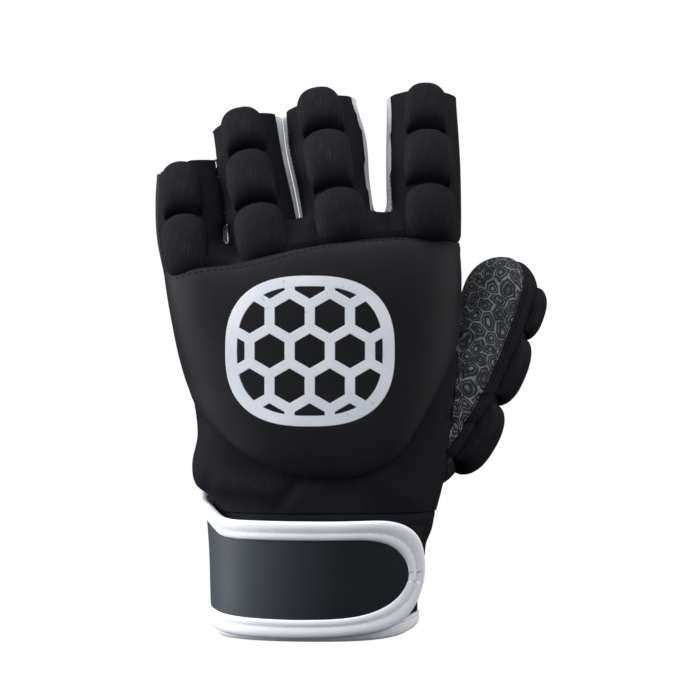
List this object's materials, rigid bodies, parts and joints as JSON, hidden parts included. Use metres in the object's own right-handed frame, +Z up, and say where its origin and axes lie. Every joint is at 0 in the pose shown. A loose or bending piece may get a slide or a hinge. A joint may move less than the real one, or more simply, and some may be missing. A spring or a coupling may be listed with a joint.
{
  "type": "field hockey glove",
  "caption": "Left-hand padded half-finger glove for field hockey: open finger stalls, closed thumb, foam pads over the back, wrist strap with hook-and-loop closure.",
  "frame": {"origin": "centre of the wrist opening, in the plane of the cuff's lower edge", "axes": "+Z up along the hand towards the fingers, -Y out of the back of the hand, +Y out of the palm, +X towards the thumb"},
  "size_m": [0.147, 0.0608, 0.2043],
  "materials": {
    "neoprene": "jersey-faced neoprene, satin",
    "pad_cover": "stretch jersey over foam, fine ribs",
    "grip_cloth": "matte cloth with a raised grey grip print",
    "white_stretch": "matte stretch cloth",
    "white_tape": "soft folded binding tape",
    "strap_rubber": "smooth satin rubbery face",
    "fastener_loop": "brushed loop"
  },
  "bodies": {
    "root": {"finger_back_panel": "neoprene", "hand_back_panel": "neoprene", "palm_panel": "grip_cloth", "thumb_panel": "grip_cloth", "finger_front_panel": "grip_cloth", "thumb_back_panel": "neoprene", "gusset_little_ring": "white_stretch", "gusset_ring_middle": "white_stretch", "gusset_middle_index": "white_stretch", "back_pad": "pad_cover", "cuff": "neoprene", "cuff_hem_tape": "white_tape", "wrist_strap": "strap_rubber", "strap_binding": "white_tape", "fastener_loop": "fastener_loop", "little_pad_1": "pad_cover", "little_pad_2": "pad_cover", "ring_pad_1": "pad_cover", "ring_pad_2": "pad_cover", "ring_pad_3": "pad_cover", "middle_pad_1": "pad_cover", "middle_pad_2": "pad_cover", "middle_pad_3": "pad_cover", "index_pad_1": "pad_cover", "index_pad_2": "pad_cover", "index_pad_3": "pad_cover", "thumb_pad_1": "pad_cover", "thumb_pad_2": "pad_cover", "thumb_pad_3": "pad_cover"}
  },
  "joints": []
}
